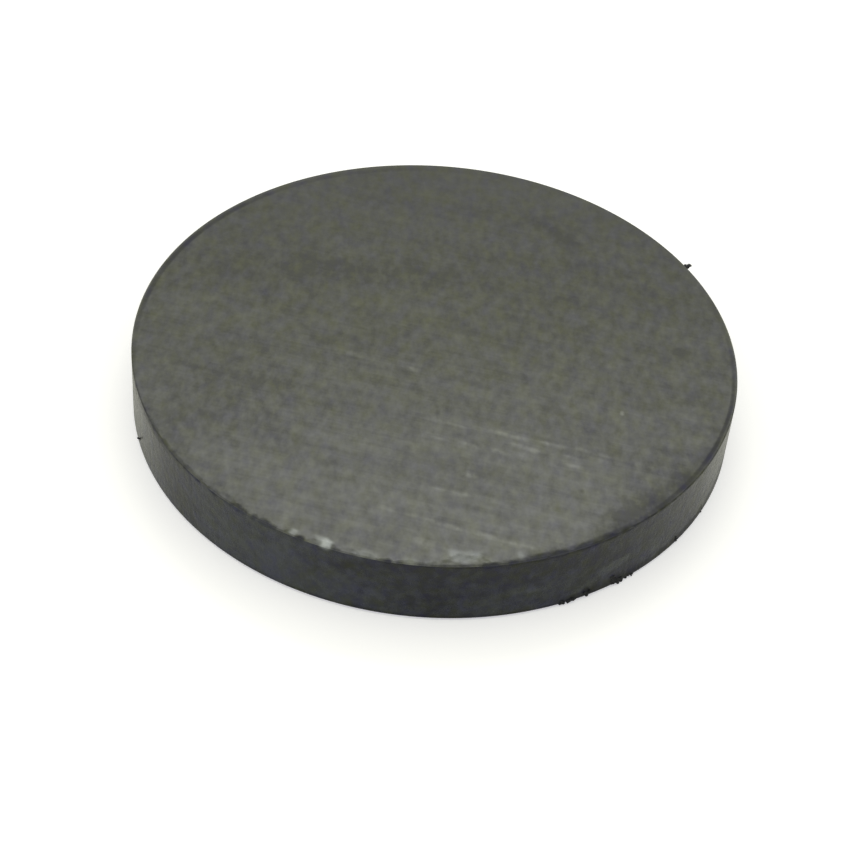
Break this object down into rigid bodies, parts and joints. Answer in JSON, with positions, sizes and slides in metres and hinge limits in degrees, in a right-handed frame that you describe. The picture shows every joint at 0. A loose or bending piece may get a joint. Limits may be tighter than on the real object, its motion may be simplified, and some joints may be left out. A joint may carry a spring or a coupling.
{
  "type": "disc magnet",
  "caption": "Flat round ceramic disc magnet with ground pole faces, a dark sintered wall and a chipped upper rim.",
  "frame": {"origin": "centre of the lower pole face, on the disc's axis", "axes": "+Z along the disc's axis from the lower pole face to the upper one, -Y towards the chipped side of the upper rim"},
  "size_m": [0.025, 0.025, 0.003],
  "materials": {
    "sintered_ferrite": "ground satin faces, matt dark sintered wall"
  },
  "bodies": {
    "root": {"magnet": "sintered_ferrite"}
  },
  "joints": []
}
